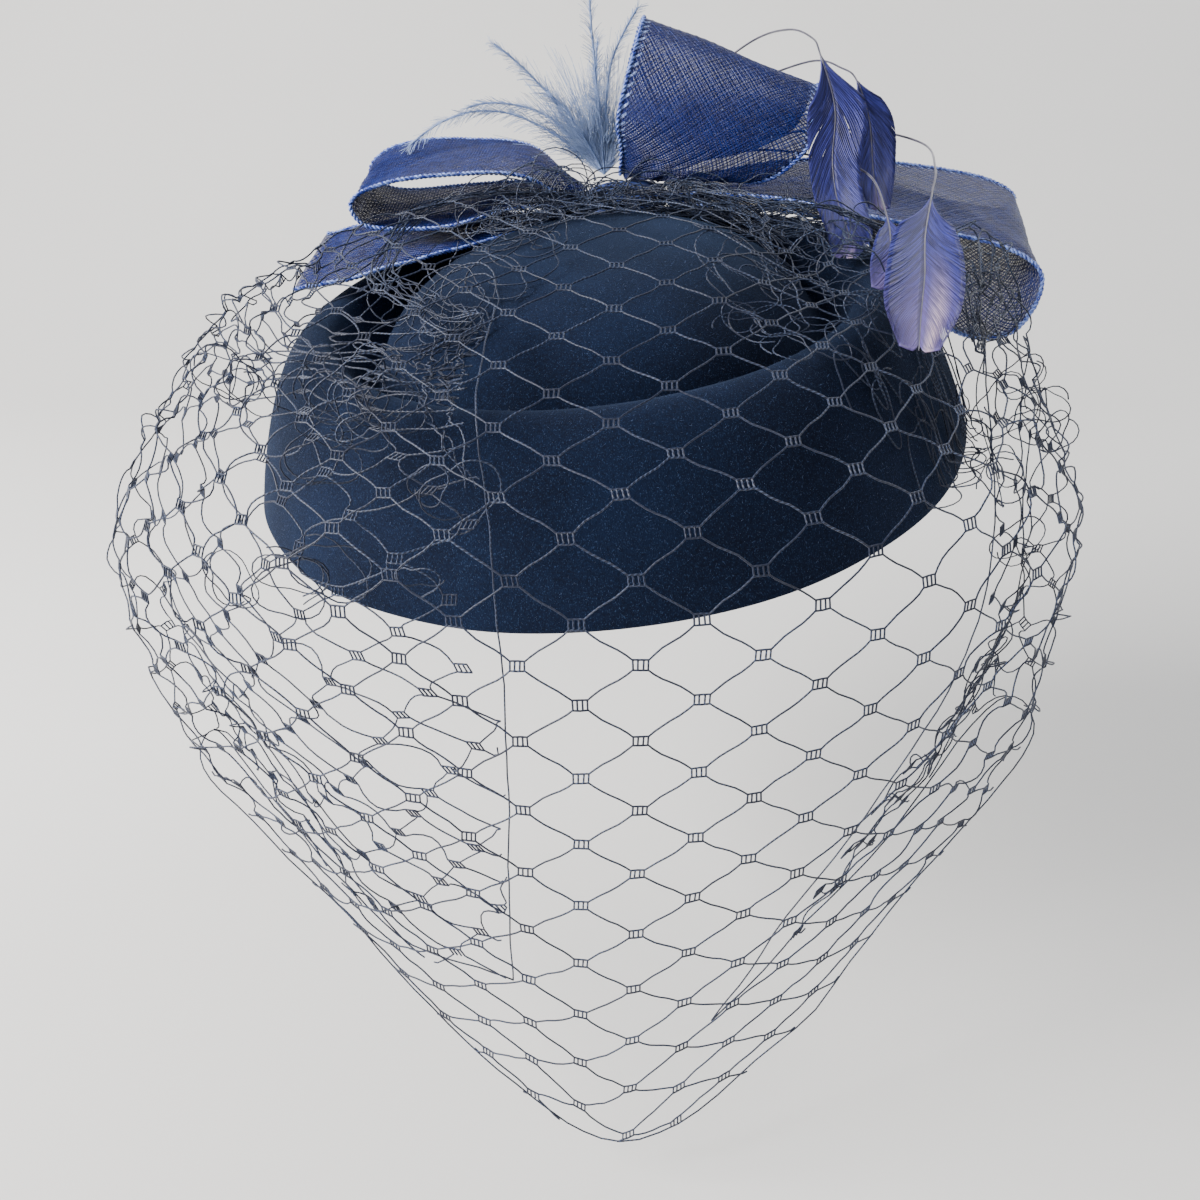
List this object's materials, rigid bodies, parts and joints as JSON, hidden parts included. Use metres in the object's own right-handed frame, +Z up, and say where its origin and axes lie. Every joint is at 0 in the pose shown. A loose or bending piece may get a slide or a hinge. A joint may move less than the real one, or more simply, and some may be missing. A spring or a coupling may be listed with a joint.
{
  "type": "fascinator hat",
  "caption": "Navy wool-felt cocktail hat with a grooved crown, a coarse diamond-net face veil, blue horsehair-braid loops, violet leaf-cut feathers and a dusty blue ostrich plume",
  "frame": {"origin": "centre of the felt's lower edge, where the hat sits on a head", "axes": "+Z up, the front of the hat faces -Y, +X is at the viewer's right; the hat keeps its worn tilt, forwards and towards the viewer's left"},
  "size_m": [0.2515, 0.2171, 0.2566],
  "materials": {
    "felt": "napped wool felt",
    "net": "fine twisted thread",
    "crin": "glossy woven horsehair braid",
    "leaf_feather": "dyed goose feather",
    "ostrich": "soft ostrich plume",
    "comb_plastic": "satin"
  },
  "bodies": {
    "root": {"felt_body": "felt", "veil": "net", "crin_knot": "crin", "crin_loop_left": "crin", "crin_loop_upright": "crin", "crin_loop_right": "crin", "crin_tail_left": "crin", "feather_front": "leaf_feather", "feather_back": "leaf_feather", "feather_low": "leaf_feather", "feather_right": "leaf_feather", "plume": "ostrich", "hair_comb": "comb_plastic"}
  },
  "joints": []
}
